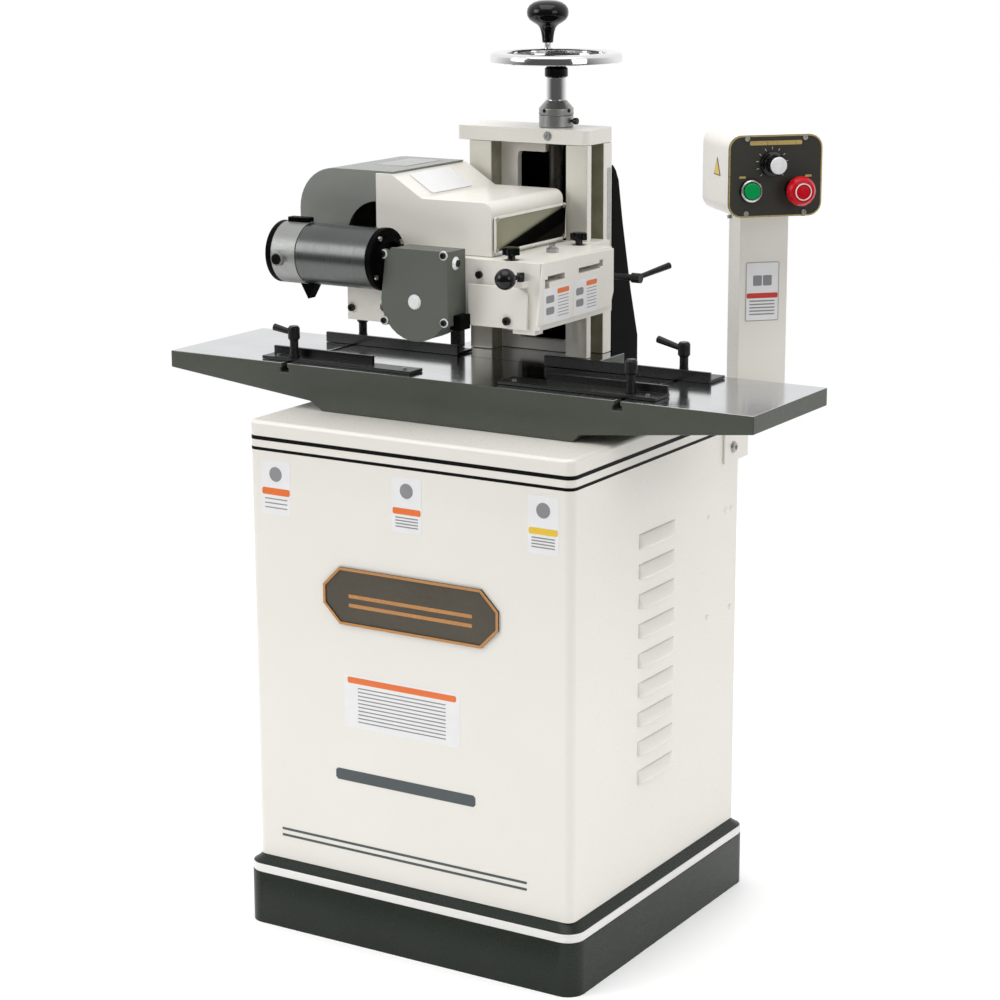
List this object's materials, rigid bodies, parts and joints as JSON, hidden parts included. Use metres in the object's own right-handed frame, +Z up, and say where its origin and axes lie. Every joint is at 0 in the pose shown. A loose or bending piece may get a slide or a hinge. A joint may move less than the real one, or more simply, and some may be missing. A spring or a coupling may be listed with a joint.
{
  "type": "thickness planer",
  "caption": "Workshop thickness planer on a cream sheet-steel cabinet, with a long ground table, a handwheel lift and a swung-out control box.",
  "frame": {"origin": "centre of the plinth's underside, on the floor", "axes": "+X along the table towards the outfeed end, +Y away from the operator, +Z up"},
  "size_m": [0.9, 0.5349, 1.243],
  "materials": {
    "cream_paint": "satin cream enamel on sheet steel",
    "cream_casting": "cream enamel on cast iron, ground ways",
    "black_paint": "satin black paint",
    "grey_paint": "grey hammer paint",
    "ground_iron": "ground on top, grey paint below",
    "steel": "machined",
    "satin_steel": "satin, turned",
    "black_steel": "blackened",
    "chrome": "polished",
    "bronze": "machined bronze",
    "light_aluminium": "cast, light",
    "belt_rubber": "moulded belt",
    "black_plastic": "moulded black",
    "clear_plastic": "clear sheet with an olive tint",
    "green_plastic": "moulded green",
    "red_plastic": "moulded red"
  },
  "bodies": {
    "stand": {"plinth": "black_paint", "cabinet_body": "cream_paint", "cabinet_top": "cream_paint", "rear_panel": "cream_paint", "table": "ground_iron", "column": "cream_casting", "column_cap": "cream_paint", "rear_cover": "black_paint", "stop_post": "black_steel", "screw_bearing": "steel", "control_post": "cream_paint", "post_bracket": "cream_paint", "control_box": "cream_paint", "control_panel": "black_paint"},
    "motor_carrier": {"main_motor": "grey_paint", "motor_shelf": "grey_paint", "drive_belt": "belt_rubber"},
    "motor_drive": {"motor_pulley": "steel"},
    "head": {"head_casting": "cream_casting", "carriage": "cream_casting", "lift_nut": "bronze", "hood": "cream_paint", "window_pane": "clear_plastic", "window_frame": "cream_paint", "chip_hood": "grey_paint", "side_plate": "cream_paint", "front_cover": "cream_paint", "front_bearing": "steel", "rear_bearing": "steel", "gearbox_body": "grey_paint", "gearbox_cover": "grey_paint", "motor_flange": "black_paint", "feed_motor_barrel": "satin_steel", "feed_motor_end": "light_aluminium"},
    "spindle": {"cutterhead": "steel", "spindle_pulley": "steel"},
    "infeed": {"infeed_roller": "steel"},
    "outfeed": {"outfeed_roller": "steel"},
    "gear": {"worm_wheel": "steel"},
    "worm": {"feed_worm": "steel"},
    "wheel": {"lead_screw": "steel", "dial_collar": "chrome", "handwheel": "chrome"},
    "crank": {"crank_knob": "black_plastic"},
    "dial_lock": {"dial_thumbscrew": "black_steel"},
    "head_lock": {"lock_lever": "black_steel"},
    "feed_control": {"feed_lever": "black_plastic"},
    "knob_1": {"star_knob_1": "black_plastic"},
    "knob_2": {"star_knob_2": "black_plastic"},
    "start": {"start_button": "green_plastic"},
    "stop": {"stop_button": "red_plastic"},
    "speed": {"speed_dial": "black_plastic"},
    "front_left_guide": {"front_left_rail": "black_steel"},
    "front_left_clamp": {"front_left_lever": "black_steel"},
    "front_right_guide": {"front_right_rail": "black_steel"},
    "front_right_clamp": {"front_right_lever": "black_steel"},
    "back_left_guide": {"back_left_rail": "black_steel"},
    "back_left_clamp": {"back_left_lever": "black_steel"},
    "back_right_guide": {"back_right_rail": "black_steel"},
    "back_right_clamp": {"back_right_lever": "black_steel"}
  },
  "joints": [
    {"name": "head_lift", "type": "slide", "parent": "stand", "child": "head", "axis": [0, 0, 1], "range_m": [-0.02, 0.118]},
    {"name": "motor_lift", "type": "slide", "parent": "stand", "child": "motor_carrier", "axis": [0, 0, 1], "range_m": [-0.02, 0.118]},
    {"name": "handwheel_turn", "type": "hinge", "parent": "stand", "child": "wheel", "pos_m": [0.0145, 0.127, 1.1705], "axis": [0, 0, -1], "range_deg": [-1805, 10625]},
    {"name": "crank_spin", "type": "hinge", "parent": "wheel", "child": "crank", "pos_m": [-0.03728, 0.19187, 1.2], "axis": [0, 0, 1], "continuous": true},
    {"name": "thumbscrew_turn", "type": "hinge", "parent": "stand", "child": "dial_lock", "pos_m": [0.0384, 0.127, 1.086], "axis": [1, 0, 0], "range_deg": [-360, 360]},
    {"name": "cutter_spin", "type": "hinge", "parent": "head", "child": "spindle", "pos_m": [-0.0145, 0, 0.8665], "axis": [0, 1, 0], "continuous": true},
    {"name": "motor_spin", "type": "hinge", "parent": "motor_carrier", "child": "motor_drive", "pos_m": [-0.0145, 0, 0.42], "axis": [0, 1, 0], "continuous": true},
    {"name": "infeed_spin", "type": "hinge", "parent": "head", "child": "infeed", "pos_m": [-0.105, 0, 0.8545], "axis": [0, -1, 0], "continuous": true},
    {"name": "outfeed_spin", "type": "hinge", "parent": "head", "child": "outfeed", "pos_m": [0.076, 0, 0.8545], "axis": [0, -1, 0], "continuous": true},
    {"name": "gear_spin", "type": "hinge", "parent": "head", "child": "gear", "pos_m": [-0.0264, 0, 0.8738], "axis": [0, -1, 0], "continuous": true},
    {"name": "worm_spin", "type": "hinge", "parent": "head", "child": "worm", "pos_m": [0, -0.1435, 0.9225], "axis": [1, 0, 0], "continuous": true},
    {"name": "lock_turn", "type": "hinge", "parent": "head", "child": "head_lock", "pos_m": [0.1004, 0.11, 0.8825], "axis": [1, 0, 0], "range_deg": [-60, 60]},
    {"name": "feed_engage", "type": "hinge", "parent": "head", "child": "feed_control", "pos_m": [0.1115, -0.128, 0.912], "axis": [0, 0, 1], "range_deg": [-15, 50]},
    {"name": "knob_1_turn", "type": "hinge", "parent": "head", "child": "knob_1", "pos_m": [0.084, -0.105, 0.9294], "axis": [0, 0, 1], "range_deg": [-360, 360]},
    {"name": "knob_2_turn", "type": "hinge", "parent": "head", "child": "knob_2", "pos_m": [0.088, 0.062, 0.9294], "axis": [0, 0, 1], "range_deg": [-360, 360]},
    {"name": "start_press", "type": "slide", "parent": "stand", "child": "start", "axis": [-0.7071, 0.7071, 0], "range_m": [0, 0.004], "stiffness_N_per_m": 400},
    {"name": "stop_press", "type": "slide", "parent": "stand", "child": "stop", "axis": [-0.7071, 0.7071, 0], "range_m": [0, 0.006]},
    {"name": "speed_turn", "type": "hinge", "parent": "stand", "child": "speed", "pos_m": [0.32317, 0.16044, 1.0403], "axis": [0.7071, -0.7071, 0], "range_deg": [-140, 140]},
    {"name": "front_left_slide", "type": "slide", "parent": "stand", "child": "front_left_guide", "axis": [0, 1, 0], "range_m": [-0.01, 0.02]},
    {"name": "front_left_clamp_turn", "type": "hinge", "parent": "front_left_guide", "child": "front_left_clamp", "pos_m": [-0.2555, -0.1165, 0.8], "axis": [0, 0, 1], "range_deg": [-90, 90]},
    {"name": "front_right_slide", "type": "slide", "parent": "stand", "child": "front_right_guide", "axis": [0, 1, 0], "range_m": [-0.01, 0.02]},
    {"name": "front_right_clamp_turn", "type": "hinge", "parent": "front_right_guide", "child": "front_right_clamp", "pos_m": [0.2595, -0.104, 0.8], "axis": [0, 0, 1], "range_deg": [-90, 90]},
    {"name": "back_left_slide", "type": "slide", "parent": "stand", "child": "back_left_guide", "axis": [0, 1, 0], "range_m": [-0.02, 0.008]},
    {"name": "back_left_clamp_turn", "type": "hinge", "parent": "back_left_guide", "child": "back_left_clamp", "pos_m": [-0.2555, 0.0485, 0.8], "axis": [0, 0, 1], "range_deg": [-90, 90]},
    {"name": "back_right_slide", "type": "slide", "parent": "stand", "child": "back_right_guide", "axis": [0, 1, 0], "range_m": [-0.02, 0.01]},
    {"name": "back_right_clamp_turn", "type": "hinge", "parent": "back_right_guide", "child": "back_right_clamp", "pos_m": [0.2595, 0.04, 0.8], "axis": [0, 0, 1], "range_deg": [-90, 90]}
  ],
  "couplings": [
    {"joint": "motor_lift", "follows": "head_lift", "ratio": 1},
    {"joint": "handwheel_turn", "follows": "head_lift", "rad_per_m": 1570.8},
    {"joint": "motor_spin", "follows": "cutter_spin", "ratio": 0.5909},
    {"joint": "outfeed_spin", "follows": "infeed_spin", "ratio": 1},
    {"joint": "gear_spin", "follows": "infeed_spin", "ratio": 1},
    {"joint": "worm_spin", "follows": "infeed_spin", "ratio": 30}
  ]
}
